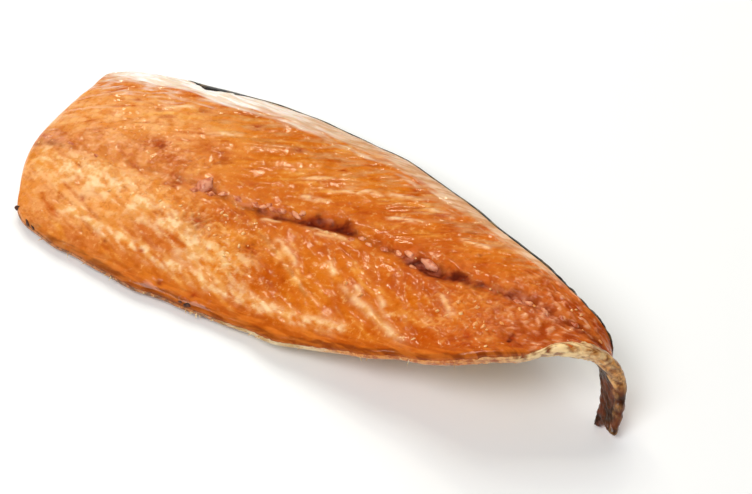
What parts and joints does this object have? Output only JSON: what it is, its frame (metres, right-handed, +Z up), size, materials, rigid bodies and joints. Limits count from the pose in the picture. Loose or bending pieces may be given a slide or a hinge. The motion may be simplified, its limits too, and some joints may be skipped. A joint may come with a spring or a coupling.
{
  "type": "hot-smoked mackerel fillet",
  "caption": "Side of hot-smoked fish, skin below and domed, grooved flesh above, with a dried tail that curls down and twists into a narrow hook.",
  "frame": {"origin": "centre of the bounding box in plan, at the level of the table that the fillet lies on", "axes": "+X from the head cut towards the tail, +Y towards the back edge of the fillet, +Z up out of the flesh"},
  "size_m": [0.2366, 0.0988, 0.0318],
  "materials": {
    "smoked_flesh": "oily amber flesh, glossy"
  },
  "bodies": {
    "root": {"fillet": "smoked_flesh"}
  },
  "joints": []
}
